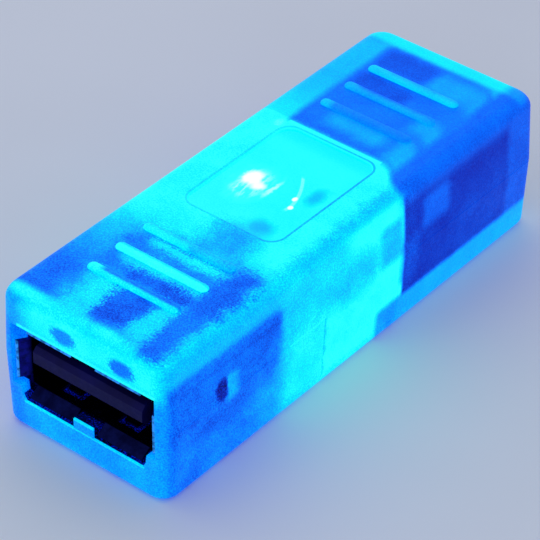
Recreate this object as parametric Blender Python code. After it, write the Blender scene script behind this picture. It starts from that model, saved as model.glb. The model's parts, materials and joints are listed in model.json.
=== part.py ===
"""Lit inline USB coupler: a frosted two-part housing around a socket A, a socket B and a lamp.

Lengths are in millimetres until make_object() turns them into metres.
+Y runs from the socket A end to the socket B end, +Z is up, and Z = 0 is the resting face.
"""

import math

import bmesh
import bpy

MM = 0.001

# Housing
LENGTH = 47.7
WIDTH = 17.3  # at the seam
HEIGHT = 13.3  # to the flat top, without the grip ribs
DRAFT = 0.35  # how far each side leans in from the seam to the top or the bottom
WALL = 1.0  # round the lamp chamber; thicker beside the sockets, down to their pockets
FLOOR_Z = 1.2
ROOF_Z = 12.1
SEAM_Z = 6.9
SEAM_GAP = 0.1  # moulded halves close tighter than the gap kept inside
GAP = 0.3
CORNER_RADIUS = 1.4
BOTTOM_ROUND = 0.65
TOP_ROUND = 1.2
TONGUE_HALF = 4.85  # the upper half reaches down over the lower one in mid-length
TONGUE_Z = 1.0
TONGUE_DEPTH = 1.35  # from the widest part of the side, a little more than the wall
CHAMBER_Y = (-7.3, 8.15)  # lamp chamber, between the two socket pockets

# Grips and window recess on the top
GRIP_LENGTH = 9.2
GRIP_WIDTH = 1.0
GRIP_RISE = 0.35
GRIP_FIRST = 6.2  # from the end face to the first grip
GRIP_PITCH = 3.25
WINDOW_HALF_X = 4.75
WINDOW_HALF_Y = 6.75
WINDOW_Y = 0.1
WINDOW_RADIUS = 1.3
WINDOW_DEPTH = 0.2

# Socket A: the opening takes a 12.5 x 5.12 plug
A_Z = 6.45
A_HALF_X = 6.57
A_HALF_Z = 2.85
A_SHEET = 0.3
A_FRONT_Y = -22.65
A_BACK_Y = -8.0
A_CONTACT_X = (-3.5, -1.0, 1.0, 3.5)
A_TAIL_Y = -9.75
A_TONGUE_Z = (6.2, 8.05)
LIP_REACH = 0.95
LIP_FLARE = 0.62
LIP_X = 3.5
LIP_WIDTH = 4.5
SIDE_LIP_WIDTH = 3.6
SPRING_X = 2.9
SIDE_SPRING_Z = 5.6
A_POCKET_X = 6.95
A_POCKET_TOP = 9.8
A_LEG_Y = (-13.9, -12.4)

# Socket B: the opening takes an 8.45 x 7.78 plug with two cut corners
B_Z = 6.6
B_HALF_X = 6.02
B_HALF_Z = 5.1
B_SHEET = 0.4
B_BACK_Y = 8.75
B_FRONT_Y = 23.55
B_PORT_HALF_X = 4.23
B_PORT_HALF_Z = 3.89
B_PORT_CUT = 1.6
B_PORT_DEPTH = 8.9
B_CONTACT_X = 1.25
B_POCKET_X = 6.35
B_POCKET_TOP = 12.0
B_WINDOW_Y = (11.35, 14.35)
B_WINDOW_Z = (5.3, 7.8)
STOP_X = (5.6, 7.8)  # ribs behind the socket B shell
STOP_Y = (7.85, 8.45)

# Board
PCB_TOP = 3.1
PCB_THICK = 1.0
PCB_HALF_X = 6.5
PCB_WAIST_X = 3.9
PCB_Y = (-14.6, -7.6, -3.5, 7.45)  # near end, waist, waist, far end
POST_X = 5.5
POST_Y = -5.3
RIB_Y = (-12.1, 3.6)  # ribs under the board

# Lamp
LED_X = -3.4
LED_Y = 0.9
LED_RADIUS = 2.5
LED_FLANGE = 2.9
LED_BASE_Z = 3.4
LED_TOP_Z = 11.8
LEAD_PITCH = 2.54
LEAD_HALF = 0.25

CONTACT_THICK = 0.25


# Outlines and meshes


def rounded_rectangle(half_u, half_v, radius, steps=6):
    """Corner arcs of a rectangle, counter-clockwise, as (u, v) points."""
    points = []
    for turn, (su, sv) in enumerate(((1, 1), (-1, 1), (-1, -1), (1, -1))):
        for i in range(steps + 1):
            angle = math.radians(90 * (turn + i / steps))
            u = su * (half_u - radius) + radius * math.cos(angle)
            v = sv * (half_v - radius) + radius * math.sin(angle)
            points.append((u, v))
    return points


def add_loft(bm, rings):
    """A closed solid through rings that all hold the same number of points."""
    rows = [[bm.verts.new(point) for point in ring] for ring in rings]
    count = len(rows[0])
    for low, high in zip(rows, rows[1:]):
        for i in range(count):
            j = (i + 1) % count
            bm.faces.new((low[i], low[j], high[j], high[i]))
    bm.faces.new(rows[0][::-1])
    bm.faces.new(rows[-1])


def add_prism(bm, outline, axis, low, high):
    """The outline is in the two other axes, in X, Y, Z order."""

    def place(u, v, along):
        point = [u, v]
        point.insert("xyz".index(axis), along)
        return tuple(point)

    add_loft(bm, [[place(u, v, along) for u, v in outline] for along in (low, high)])


def add_box(bm, x, y, z):
    corners = ((x[0], y[0]), (x[1], y[0]), (x[1], y[1]), (x[0], y[1]))
    add_prism(bm, corners, "z", *z)


def add_lathe(bm, profile, centre, steps=24):
    """A solid turned about a vertical axis, from (radius, z) points."""
    rings = []
    for radius, z in profile:
        ring = []
        for i in range(steps):
            angle = 2 * math.pi * i / steps
            x = centre[0] + radius * math.cos(angle)
            y = centre[1] + radius * math.sin(angle)
            ring.append((x, y, z))
        rings.append(ring)
    add_loft(bm, rings)


def add_strip(bm, path, thickness, middle, widths, plane="yz"):
    """Bent sheet: path is the middle line in its plane, widths go across it at each point."""
    rings = []
    for i, (u, v) in enumerate(path):
        before = path[max(i - 1, 0)]
        after = path[min(i + 1, len(path) - 1)]
        first = direction(before, (u, v)) or direction((u, v), after)
        second = direction((u, v), after) or first
        mitre = 1 + first[0] * second[0] + first[1] * second[1]
        shift_u = -(first[1] + second[1]) / mitre * thickness / 2
        shift_v = (first[0] + second[0]) / mitre * thickness / 2
        half = widths[i] / 2
        ring = []
        for side, across in ((1, -half), (1, half), (-1, half), (-1, -half)):
            along = (u + side * shift_u, v + side * shift_v)
            if plane == "yz":
                ring.append((middle + across, along[0], along[1]))
            else:
                ring.append((along[1], along[0], middle + across))
        rings.append(ring)
    add_loft(bm, rings)


def direction(start, end):
    length = math.hypot(end[0] - start[0], end[1] - start[1])
    if not length:
        return None
    return (end[0] - start[0]) / length, (end[1] - start[1]) / length


def mirrored(pairs):
    """An outline's right half, bottom to top, with its left half added."""
    return list(pairs) + [(-x, z) for x, z in reversed(pairs)]


def make_material(name, colour, roughness, metallic=0.0, alpha=1.0):
    material = bpy.data.materials.new(name)
    material.use_nodes = True
    shader = material.node_tree.nodes["Principled BSDF"]
    shader.inputs["Base Color"].default_value = (*colour, 1.0)
    shader.inputs["Roughness"].default_value = roughness
    shader.inputs["Metallic"].default_value = metallic
    shader.inputs["Alpha"].default_value = alpha
    return material


def make_object(name, bm, material=None):
    """Turns millimetres into metres. Without a material the object is a cutter."""
    bmesh.ops.recalc_face_normals(bm, faces=bm.faces)
    for vertex in bm.verts:
        vertex.co *= MM
    mesh = bpy.data.meshes.new(name)
    bm.to_mesh(mesh)
    bm.free()
    obj = bpy.data.objects.new(name, mesh)
    bpy.context.scene.collection.objects.link(obj)
    if material is None:
        obj.hide_render = True
        obj.display_type = "WIRE"
    else:
        mesh.materials.append(material)
        mesh.shade_smooth()
        mesh.set_sharp_from_angle(angle=math.radians(35))
    return obj


def combine(obj, operation, tool):
    modifier = obj.modifiers.new(tool.name, "BOOLEAN")
    modifier.operation = operation
    modifier.object = tool


# Housing


def lean(z):
    """The sides lean in from the seam. The end faces stand upright."""
    return DRAFT * abs(z - SEAM_Z) / SEAM_Z


def housing_levels():
    """(z, inset by the edge's rounding) from the resting face up to the flat top."""
    levels = []
    for i in range(5):
        angle = math.radians(90 * i / 4)
        levels.append((BOTTOM_ROUND * (1 - math.cos(angle)), BOTTOM_ROUND * (1 - math.sin(angle))))
    levels.append((SEAM_Z, 0.0))
    for i in range(7):
        angle = math.radians(90 * i / 6)
        z = HEIGHT - TOP_ROUND * (1 - math.sin(angle))
        levels.append((z, TOP_ROUND * (1 - math.cos(angle))))
    return levels


def plan_ring(z, side_inset, end_inset, radius):
    outline = rounded_rectangle(WIDTH / 2 - side_inset, LENGTH / 2 - end_inset, radius)
    return [(x, y, z) for x, y in outline]


def make_body(name, material):
    bm = bmesh.new()
    rings = []
    for z, inset in housing_levels():
        rings.append(plan_ring(z, inset + lean(z), inset, CORNER_RADIUS))
    add_loft(bm, rings)
    return make_object(name, bm, material)


def cut_inside(shell, name):
    """The lamp chamber, the two socket pockets and their openings in the end walls."""
    chamber = bmesh.new()
    side = WALL + DRAFT
    near, far = CHAMBER_Y
    levels = (
        (FLOOR_Z, side + 0.2),
        (FLOOR_Z + 0.3, side - 0.05),
        (SEAM_Z, WALL),
        (ROOF_Z - 0.5, side - 0.1),
        (ROOF_Z, side + 0.4),
    )
    rings = []
    for z, inset in levels:
        outline = rounded_rectangle(WIDTH / 2 - inset, (far - near) / 2, 0.7)
        rings.append([(x, y + (far + near) / 2, z) for x, y in outline])
    add_loft(chamber, rings)
    combine(shell, "DIFFERENCE", make_object(name + "_chamber_cut", chamber))

    pockets = bmesh.new()
    end = LENGTH / 2 - WALL
    a_outline = rounded_rectangle(A_POCKET_X, (A_POCKET_TOP - FLOOR_Z) / 2, 0.6)
    a_outline = [(x, z + (A_POCKET_TOP + FLOOR_Z) / 2) for x, z in a_outline]
    add_prism(pockets, a_outline, "y", -end, near + 0.2)
    b_outline = rounded_rectangle(B_POCKET_X, (B_POCKET_TOP - FLOOR_Z) / 2, 0.6)
    b_outline = [(x, z + (B_POCKET_TOP + FLOOR_Z) / 2) for x, z in b_outline]
    add_prism(pockets, b_outline, "y", far - 0.2, end)
    combine(shell, "DIFFERENCE", make_object(name + "_pocket_cut", pockets))

    ports = bmesh.new()
    lip_outline = mirrored(
        (
            (1.0, A_Z - 2.6),
            (1.0, A_Z - 3.6),
            (6.0, A_Z - 3.6),
            (6.35, A_Z - 3.0),
            (6.45, A_Z - 2.2),
            (7.3, A_Z - 2.2),
            (7.3, A_Z + 3.65),
        )
    )
    add_prism(ports, lip_outline, "y", -LENGTH / 2 - 1, A_FRONT_Y + 0.4)
    b_port = rounded_rectangle(B_POCKET_X - 0.05, B_HALF_Z + 0.25, 0.5)
    add_prism(ports, [(x, z + B_Z) for x, z in b_port], "y", end - 0.6, LENGTH / 2 + 1)
    combine(shell, "DIFFERENCE", make_object(name + "_port_cut", ports))


def upper_region(name, grow):
    """One closed body: the outline along the side is a plate with a tongue hanging down."""
    bm = bmesh.new()
    half = TONGUE_HALF + grow
    seam = SEAM_Z - grow
    foot = TONGUE_Z - grow
    add_box(bm, (-10.0, 10.0), (-30.0, 30.0), (seam, 20.0))
    region = make_object(name, bm)
    tongues = bmesh.new()
    inner = WIDTH / 2 - TONGUE_DEPTH
    for side in (-1, 1):
        add_box(tongues, sorted((side * inner, side * 10.0)), (-half, half), (foot, 12.0))
    combine(region, "UNION", make_object(name + "_tongues", tongues))
    return region


def add_grips(bm):
    for end in (-1, 1):
        for i in range(3):
            y = end * (LENGTH / 2 - GRIP_FIRST - GRIP_PITCH * i)
            rings = []
            for rise, inset in ((-0.2, 0.0), (0.1, 0.0), (0.25, 0.1), (GRIP_RISE, 0.3)):
                half_v = GRIP_WIDTH / 2 - inset
                outline = rounded_rectangle(GRIP_LENGTH / 2 - inset, half_v, half_v - 0.01, 4)
                rings.append([(u, y + v, HEIGHT + rise) for u, v in outline])
            add_loft(bm, rings)


def make_housing_upper(material):
    shell = make_body("housing_upper", material)
    cut_inside(shell, "housing_upper")
    combine(shell, "INTERSECT", upper_region("upper_region", 0.0))

    added = bmesh.new()
    add_grips(added)
    above_seam = SEAM_Z + 0.2
    partition = ((6.3, PCB_TOP + 0.5), (6.3, above_seam), (7.8, above_seam), (7.8, ROOF_Z - 0.4))
    partition = mirrored(partition)
    add_prism(added, partition, "y", CHAMBER_Y[0] - 0.4, CHAMBER_Y[0] + 0.4)
    for side in (-1, 1):
        stop_x = sorted(side * x for x in STOP_X)
        add_box(added, stop_x, STOP_Y, (above_seam, ROOF_Z - 0.3))
        pin = ((0.5, 3.6), (0.6, 3.8), (0.6, 5.5), (1.1, 5.5), (1.1, ROOF_Z + 0.3))
        add_lathe(added, pin, (side * POST_X, POST_Y), 12)
    combine(shell, "UNION", make_object("upper_features", added))

    window = bmesh.new()
    outline = rounded_rectangle(WINDOW_HALF_X, WINDOW_HALF_Y, WINDOW_RADIUS)
    outline = [(x, y + WINDOW_Y) for x, y in outline]
    add_prism(window, outline, "z", HEIGHT - WINDOW_DEPTH, HEIGHT + 1)
    combine(shell, "DIFFERENCE", make_object("window_cut", window))


def make_housing_lower(material):
    shell = make_body("housing_lower", material)
    cut_inside(shell, "housing_lower")
    combine(shell, "DIFFERENCE", upper_region("lower_limit", SEAM_GAP))

    added = bmesh.new()
    for y in RIB_Y:
        add_box(added, (-6.2, 6.2), (y, y + 0.6), (FLOOR_Z - 0.3, PCB_TOP - PCB_THICK - 0.25))
    for side in (-1, 1):
        stop_x = sorted(side * x for x in STOP_X)
        add_box(added, stop_x, STOP_Y, (FLOOR_Z - 0.3, SEAM_Z - 0.9))
        boss = ((1.25, FLOOR_Z - 0.3), (1.25, 5.2))
        add_lathe(added, boss, (side * POST_X, POST_Y), 12)
    combine(shell, "UNION", make_object("lower_features", added))

    holes = bmesh.new()
    for side in (-1, 1):
        add_lathe(holes, ((0.8, 2.6), (0.8, 5.6)), (side * POST_X, POST_Y), 12)
    combine(shell, "DIFFERENCE", make_object("boss_holes", holes))


# Socket A


def tube(name, half_x, half_z, sheet, middle_z, y, material, radius):
    bm = bmesh.new()
    outer = rounded_rectangle(half_x, half_z, radius, 4)
    add_prism(bm, [(x, z + middle_z) for x, z in outer], "y", *y)
    shell = make_object(name, bm, material)
    hollow = bmesh.new()
    inner = rounded_rectangle(half_x - sheet, half_z - sheet, radius - sheet, 4)
    add_prism(hollow, [(x, z + middle_z) for x, z in inner], "y", y[0] - 1, y[1] + 1)
    combine(shell, "DIFFERENCE", make_object(name + "_hollow", hollow))
    return shell


def make_usb_a_shell(material):
    depth = (A_FRONT_Y, A_BACK_Y)
    shell = tube("usb_a_shell", A_HALF_X, A_HALF_Z, A_SHEET, A_Z, depth, material, 0.6)

    cuts = bmesh.new()
    spring_y = (A_FRONT_Y + 0.7, A_FRONT_Y + 6.2)
    side_y = (A_FRONT_Y + 5.4, A_FRONT_Y + 8.3)
    for side in (-1, 1):
        spring_x = (side * SPRING_X - 1.1, side * SPRING_X + 1.1)
        for end_z in (A_Z - A_HALF_Z, A_Z + A_HALF_Z):
            add_box(cuts, spring_x, spring_y, (end_z - 0.5, end_z + 0.5))
        wall_x = sorted((side * (A_HALF_X - 0.5), side * (A_HALF_X + 0.5)))
        add_box(cuts, wall_x, side_y, (SIDE_SPRING_Z - 1.0, SIDE_SPRING_Z + 1.0))
    add_box(cuts, (-4.6, 4.6), (A_BACK_Y - 2.7, A_BACK_Y + 1), (A_Z - 3.4, A_Z - 1.9))
    combine(shell, "DIFFERENCE", make_object("usb_a_shell_cuts", cuts))

    added = bmesh.new()
    for end in (-1, 1):
        wall_z = A_Z + end * (A_HALF_Z - A_SHEET / 2)
        wall_x = end * (A_HALF_X - A_SHEET / 2)
        for side in (-1, 1):
            add_lip(added, wall_z, end, side * LIP_X, LIP_WIDTH, "yz")
            add_spring(added, wall_z, end, side * SPRING_X, spring_y, "yz")
        add_lip(added, wall_x, end, A_Z, SIDE_LIP_WIDTH, "yx")
        add_spring(added, wall_x, end, SIDE_SPRING_Z, side_y, "yx")
        leg_x = sorted((end * (A_HALF_X - 0.28), end * (A_HALF_X - 0.02)))
        add_box(added, leg_x, A_LEG_Y, (1.6, 4.6))
    combine(shell, "UNION", make_object("usb_a_shell_features", added))


def add_lip(bm, wall, end, middle, width, plane):
    """Flared lip at the mouth: flat root inside the sheet, then out and forward."""
    path = [(A_FRONT_Y + 0.2, wall), (A_FRONT_Y, wall)]
    path.append((A_FRONT_Y - LIP_REACH, wall + end * LIP_FLARE))
    add_strip(bm, path, A_SHEET - 0.04, middle, (width,) * 3, plane)


def add_spring(bm, wall, end, middle, window_y, plane):
    """Contact spring in its window: rooted at the back, bent inwards, free at the front."""
    front, back = window_y
    path = [(back + 0.2, wall), (back - 0.8, wall)]
    path.append((front + (back - front) * 0.27, wall - end * 0.4))
    path.append((front + (back - front) * 0.07, wall - end * 0.2))
    add_strip(bm, path, 0.2, middle, (1.6, 1.6, 1.6, 1.3), plane)


def make_usb_a_insulator(material):
    bm = bmesh.new()
    back = A_BACK_Y - 0.1
    add_box(bm, (-6.0, 6.0), (back - 3.2, back), (A_Z - 2.45, A_Z + 2.3))
    block = make_object("usb_a_insulator", bm, material)
    tongue = bmesh.new()
    tip = A_FRONT_Y - 0.6
    low, high = A_TONGUE_Z
    outline = ((tip, low + 0.4), (tip + 0.4, low), (back - 2.6, low))
    outline += ((back - 2.6, high), (tip + 0.4, high), (tip, high - 0.4))
    add_prism(tongue, outline, "x", -5.56, 5.56)
    combine(block, "UNION", make_object("usb_a_tongue", tongue))
    slots = bmesh.new()
    for x in A_CONTACT_X:
        add_box(slots, (x - 0.6, x + 0.6), (back - 3.6, A_BACK_Y + 1), (3.0, low - 0.02))
    combine(block, "DIFFERENCE", make_object("usb_a_slots", slots))


def make_usb_a_contacts(material):
    rest = A_TONGUE_Z[0] - 0.28
    tip = A_FRONT_Y + 1.05
    path = [(tip, rest), (tip + 0.5, rest - 0.32), (tip + 1.3, rest - 0.37)]
    path += [(tip + 3.8, rest - 0.02)]
    path += [(A_TAIL_Y, rest), (A_TAIL_Y, 3.6), (A_TAIL_Y, 3.4), (A_TAIL_Y, 1.6)]
    widths = [0.6, 0.9, 0.9, 0.9, 0.9, 0.9, 0.5, 0.5]
    for i, x in enumerate(A_CONTACT_X):
        bm = bmesh.new()
        add_strip(bm, path, CONTACT_THICK, x, widths)
        make_object(f"usb_a_contact_{i + 1}", bm, material)


# Socket B


def plug_b_outline():
    x = B_PORT_HALF_X
    bottom = B_Z - B_PORT_HALF_Z
    top = B_Z + B_PORT_HALF_Z
    return mirrored(((x, bottom), (x, top - B_PORT_CUT), (x - B_PORT_CUT, top)))


def make_usb_b_shell(material):
    bm = bmesh.new()
    outline = rounded_rectangle(B_HALF_X, B_HALF_Z, 0.6, 4)
    add_prism(bm, [(x, z + B_Z) for x, z in outline], "y", B_BACK_Y, B_FRONT_Y)
    shell = make_object("usb_b_shell", bm, material)
    hollow = bmesh.new()
    inner = rounded_rectangle(B_HALF_X - B_SHEET, B_HALF_Z - B_SHEET, 0.3, 4)
    inner = [(x, z + B_Z) for x, z in inner]
    add_prism(hollow, inner, "y", B_BACK_Y - 1, B_FRONT_Y - B_SHEET)
    combine(shell, "DIFFERENCE", make_object("usb_b_hollow", hollow))
    cuts = bmesh.new()
    add_prism(cuts, plug_b_outline(), "y", B_FRONT_Y - 2, B_FRONT_Y + 1)
    for side in (-1, 1):
        wall_x = sorted((side * (B_HALF_X - 0.6), side * (B_HALF_X + 0.6)))
        add_box(cuts, wall_x, B_WINDOW_Y, B_WINDOW_Z)
    combine(shell, "DIFFERENCE", make_object("usb_b_shell_cuts", cuts))


def make_usb_b_insulator(material):
    front = B_FRONT_Y - B_SHEET - GAP
    back_wall = front - B_PORT_DEPTH
    bm = bmesh.new()
    outline = rounded_rectangle(5.3, 4.4, 0.4, 2)
    add_prism(bm, [(x, z + B_Z) for x, z in outline], "y", B_BACK_Y + 0.4, front)
    block = make_object("usb_b_insulator", bm, material)
    port = bmesh.new()
    add_prism(port, plug_b_outline(), "y", back_wall, front + 1)
    combine(block, "DIFFERENCE", make_object("usb_b_port", port))
    tongue = bmesh.new()
    add_box(tongue, (-2.8, 2.8), (back_wall - 0.5, front - 0.6), (B_Z - 1.6, B_Z + 1.6))
    combine(block, "UNION", make_object("usb_b_tongue", tongue))
    slots = bmesh.new()
    for side in (-1, 1):
        slot_x = (side * B_CONTACT_X - 0.6, side * B_CONTACT_X + 0.6)
        slot_y = (B_BACK_Y - 1, back_wall + 0.3)
        add_box(slots, slot_x, slot_y, (B_Z + 1.55, B_Z + 2.2))
        add_box(slots, slot_x, slot_y, (B_Z - 2.2, B_Z - 1.55))
    combine(block, "DIFFERENCE", make_object("usb_b_slots", slots))


def make_usb_b_contacts(material):
    """Two run over the tongue to the board's top, two under it to the board's underside."""
    rest = 1.6 + 0.125 + CONTACT_THICK / 2
    foot_z = {1: PCB_TOP + 0.33, -1: PCB_TOP - PCB_THICK - 0.33}
    bend_y = {1: PCB_Y[3] + 0.4, -1: PCB_Y[3] + 1.0}
    number = 1
    for face in (1, -1):
        level = B_Z + face * rest
        raised = level + face * 0.18
        tip = B_FRONT_Y - 1.9
        path = [(tip, level), (tip - 0.7, raised), (tip - 1.6, raised), (tip - 3.4, level)]
        path += [(bend_y[face], level), (bend_y[face], foot_z[face])]
        path.append((PCB_Y[3] - 1.5, foot_z[face]))
        for side in (-1, 1):
            bm = bmesh.new()
            add_strip(bm, path, CONTACT_THICK, side * B_CONTACT_X, [0.7] + [0.9] * 6)
            make_object(f"usb_b_contact_{number}", bm, material)
            number += 1


# Board and lamp


def lead_places():
    return [(LED_X, LED_Y + side * LEAD_PITCH / 2) for side in (-1, 1)]


def make_pcb(material):
    near, waist_near, waist_far, far = PCB_Y
    leg_near, leg_far = A_LEG_Y[0] - 0.25, A_LEG_Y[1] + 0.25
    half = (
        (PCB_HALF_X, near),
        (PCB_HALF_X, leg_near),
        (5.95, leg_near),
        (5.95, leg_far),
        (PCB_HALF_X, leg_far),
        (PCB_HALF_X, waist_near),
        (PCB_WAIST_X, waist_near),
        (PCB_WAIST_X, waist_far),
        (PCB_HALF_X, waist_far),
        (PCB_HALF_X, far),
    )
    bm = bmesh.new()
    add_prism(bm, mirrored(half), "z", PCB_TOP - PCB_THICK, PCB_TOP)
    board = make_object("pcb", bm, material)
    holes = bmesh.new()
    depth = (PCB_TOP - PCB_THICK - 1, PCB_TOP + 1)
    for x in A_CONTACT_X:
        add_box(holes, (x - 0.45, x + 0.45), (A_TAIL_Y - 0.35, A_TAIL_Y + 0.35), depth)
    for x, y in lead_places():
        add_box(holes, (x - 0.45, x + 0.45), (y - 0.45, y + 0.45), depth)
    combine(board, "DIFFERENCE", make_object("pcb_holes", holes))


def make_solder_joints(material):
    """Fillets on the board's underside, one round each soldered lead."""
    places = [(x, A_TAIL_Y, 0.36) for x in A_CONTACT_X]
    places += [(x, y, 0.44) for x, y in lead_places()]
    top = PCB_TOP - PCB_THICK - 0.1
    for i, (x, y, bore) in enumerate(places):
        bm = bmesh.new()
        fillet = ((bore + 0.08, top - 0.5), (bore + 0.16, top - 0.25), (bore + 0.42, top))
        add_lathe(bm, fillet, (x, y), 12)
        joint = make_object(f"solder_joint_{i + 1}", bm, material)
        cutter = bmesh.new()
        add_lathe(cutter, ((bore, top - 1), (bore, top + 1)), (x, y), 12)
        combine(joint, "DIFFERENCE", make_object(f"solder_bore_{i + 1}", cutter))


def make_led_lens(material):
    centre = (LED_X, LED_Y)
    dome_z = LED_TOP_Z - LED_RADIUS
    profile = [(LED_FLANGE, LED_BASE_Z), (LED_FLANGE, LED_BASE_Z + 1.0)]
    profile.append((LED_RADIUS, LED_BASE_Z + 1.0))
    for i in range(8):
        angle = math.radians(11.5 * i)
        profile.append((LED_RADIUS * math.cos(angle), dome_z + LED_RADIUS * math.sin(angle)))
    bm = bmesh.new()
    add_lathe(bm, profile, centre)
    lens = make_object("led_lens", bm, material)
    cuts = bmesh.new()
    pocket = ((1.95, LED_BASE_Z - 1), (1.95, 7.0), (1.5, 7.9), (0.7, 8.2))
    add_lathe(cuts, pocket, centre)
    add_box(cuts, (LED_X - 4, LED_X + 4), (LED_Y - 4, LED_Y - 2.6), (LED_BASE_Z - 1, 5.0))
    combine(lens, "DIFFERENCE", make_object("led_lens_cuts", cuts))


def make_led_frame(material):
    """The cathode carries the reflector cup with the chip, the anode stands beside it."""
    inner = LEAD_PITCH / 2 - LEAD_HALF
    outer = LEAD_PITCH / 2 + LEAD_HALF
    low = 1.6
    x = (LED_X - LEAD_HALF, LED_X + LEAD_HALF)
    anode = ((inner, low), (outer, low), (outer, 6.7), (inner + 0.2, 7.2), (inner, 7.0))
    bm = bmesh.new()
    add_prism(bm, [(LED_Y + u, z) for u, z in anode], "x", *x)
    make_object("led_anode", bm, material)

    cathode = ((-outer, low), (-inner, low), (-inner, 5.2), (0.4, 6.0), (0.4, 6.5))
    cathode += ((-1.2, 6.5), (-outer, 6.2))
    bm = bmesh.new()
    add_prism(bm, [(LED_Y + u, z) for u, z in cathode], "x", *x)
    frame = make_object("led_cathode", bm, material)
    cup = bmesh.new()
    add_lathe(cup, ((0.35, 6.3), (0.5, 6.4), (0.72, 7.3)), (LED_X, LED_Y), 16)
    combine(frame, "UNION", make_object("led_cup", cup))
    dish = bmesh.new()
    add_lathe(dish, ((0.36, 6.7), (0.6, 7.4)), (LED_X, LED_Y), 16)
    combine(frame, "DIFFERENCE", make_object("led_dish", dish))


def make_led_chip(material):
    bm = bmesh.new()
    half = 0.18
    x = (LED_X - half, LED_X + half)
    add_box(bm, x, (LED_Y - half, LED_Y + half), (6.78, 6.98))
    make_object("led_chip", bm, material)


def make_resistor(body_material, cap_material):
    x = (1.3, 2.9)
    z = (PCB_TOP + 0.15, PCB_TOP + 0.7)
    bm = bmesh.new()
    add_box(bm, x, (-4.0, -2.0), z)
    make_object("resistor_body", bm, body_material)
    for i, y in enumerate(((-4.6, -4.1), (-1.9, -1.4))):
        bm = bmesh.new()
        add_box(bm, x, y, z)
        make_object(f"resistor_cap_{i + 1}", bm, cap_material)


def main():
    for obj in list(bpy.data.objects):
        bpy.data.objects.remove(obj, do_unlink=True)

    steel = make_material("plated_steel", (0.75, 0.76, 0.78), 0.25, 1.0)
    gold = make_material("plated_contact", (0.9, 0.68, 0.3), 0.3, 1.0)
    solder = make_material("solder", (0.62, 0.63, 0.66), 0.35, 1.0)
    make_housing_upper(make_material("frosted_top", (0.05, 0.62, 1.0), 0.45, alpha=0.55))
    make_housing_lower(make_material("frosted_bottom", (0.03, 0.5, 1.0), 0.5, alpha=0.55))
    make_usb_a_shell(steel)
    make_usb_a_insulator(make_material("socket_a_plastic", (0.02, 0.03, 0.12), 0.5))
    make_usb_a_contacts(gold)
    make_usb_b_shell(make_material("plated_steel_b", (0.7, 0.71, 0.74), 0.3, 1.0))
    make_usb_b_insulator(make_material("socket_b_plastic", (0.85, 0.86, 0.88), 0.5))
    make_usb_b_contacts(gold)
    make_pcb(make_material("board", (0.02, 0.2, 0.12), 0.5))
    make_solder_joints(solder)
    make_led_lens(make_material("clear_epoxy", (0.8, 0.95, 1.0), 0.05, alpha=0.35))
    make_led_frame(make_material("lead_frame", (0.8, 0.8, 0.82), 0.3, 1.0))
    make_led_chip(make_material("chip", (0.2, 0.8, 1.0), 0.3))
    make_resistor(make_material("resistor_ceramic", (0.02, 0.02, 0.03), 0.4), solder)


main()
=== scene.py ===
"""Lit inline USB coupler: frosted plastic with a painted glow from the lamp inside it.

Lengths are in millimetres in the row frame, and MM turns them into metres.
+Y runs from the socket A end to the socket B end, and Z = 0 is the resting face.
"""

import json
import math

import bmesh
import bpy
from mathutils import Matrix, Vector


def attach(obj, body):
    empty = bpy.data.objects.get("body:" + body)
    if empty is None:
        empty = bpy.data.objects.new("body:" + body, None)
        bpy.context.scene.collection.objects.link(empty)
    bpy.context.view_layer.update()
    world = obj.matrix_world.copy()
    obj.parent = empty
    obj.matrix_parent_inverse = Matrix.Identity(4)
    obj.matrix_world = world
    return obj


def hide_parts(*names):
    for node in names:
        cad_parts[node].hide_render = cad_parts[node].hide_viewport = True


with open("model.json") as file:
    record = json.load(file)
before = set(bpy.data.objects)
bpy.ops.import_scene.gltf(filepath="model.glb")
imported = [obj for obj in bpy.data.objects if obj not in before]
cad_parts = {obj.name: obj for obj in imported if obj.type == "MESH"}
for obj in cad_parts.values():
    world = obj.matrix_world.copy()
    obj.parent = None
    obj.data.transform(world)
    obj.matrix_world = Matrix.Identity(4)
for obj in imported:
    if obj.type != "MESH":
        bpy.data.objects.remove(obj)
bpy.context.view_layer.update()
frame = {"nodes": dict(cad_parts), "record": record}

MM = 0.001

# Housing
LENGTH = 47.7
WIDTH = 17.3
HEIGHT = 13.3
DRAFT = 0.35
WALL = 1.0
FLOOR_Z = 1.2
ROOF_Z = 12.1
SEAM_Z = 6.9
SEAM_GAP = 0.07
CORNER_RADIUS = 1.4
BOTTOM_ROUND = 0.65
TOP_ROUND = 1.2
TONGUE_HALF = 4.85
TONGUE_Z = 1.0
TONGUE_DEPTH = 1.35
CHAMBER_Y = (-7.3, 8.15)
GRIP_LENGTH = 9.2
GRIP_WIDTH = 1.0
GRIP_RISE = 0.35
GRIP_FIRST = 6.2
GRIP_PITCH = 3.25
WINDOW_HALF_X = 4.75
WINDOW_HALF_Y = 6.75
WINDOW_Y = 0.1
WINDOW_RADIUS = 1.3
WINDOW_DEPTH = 0.2

# Sockets, ribs and posts
A_Z = 6.45
A_FRONT_Y = -22.65
A_POCKET_X = 6.95
A_POCKET_TOP = 9.8
A_BLOCK_X = 1.0
A_BLOCK_TOP = A_Z - 2.6
B_Z = 6.6
B_POCKET_X = 6.35
B_POCKET_TOP = 12.0
B_HALF_Z = 5.1
STOP_X = (5.6, 7.8)
STOP_Y = (7.85, 8.45)
POST_X = 5.5
POST_Y = -5.3
RIB_Y = (-12.1, 3.6)

NEAR_Y = -LENGTH / 2
DISPLAY_POWER = 2.2


# Mesh building


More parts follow.
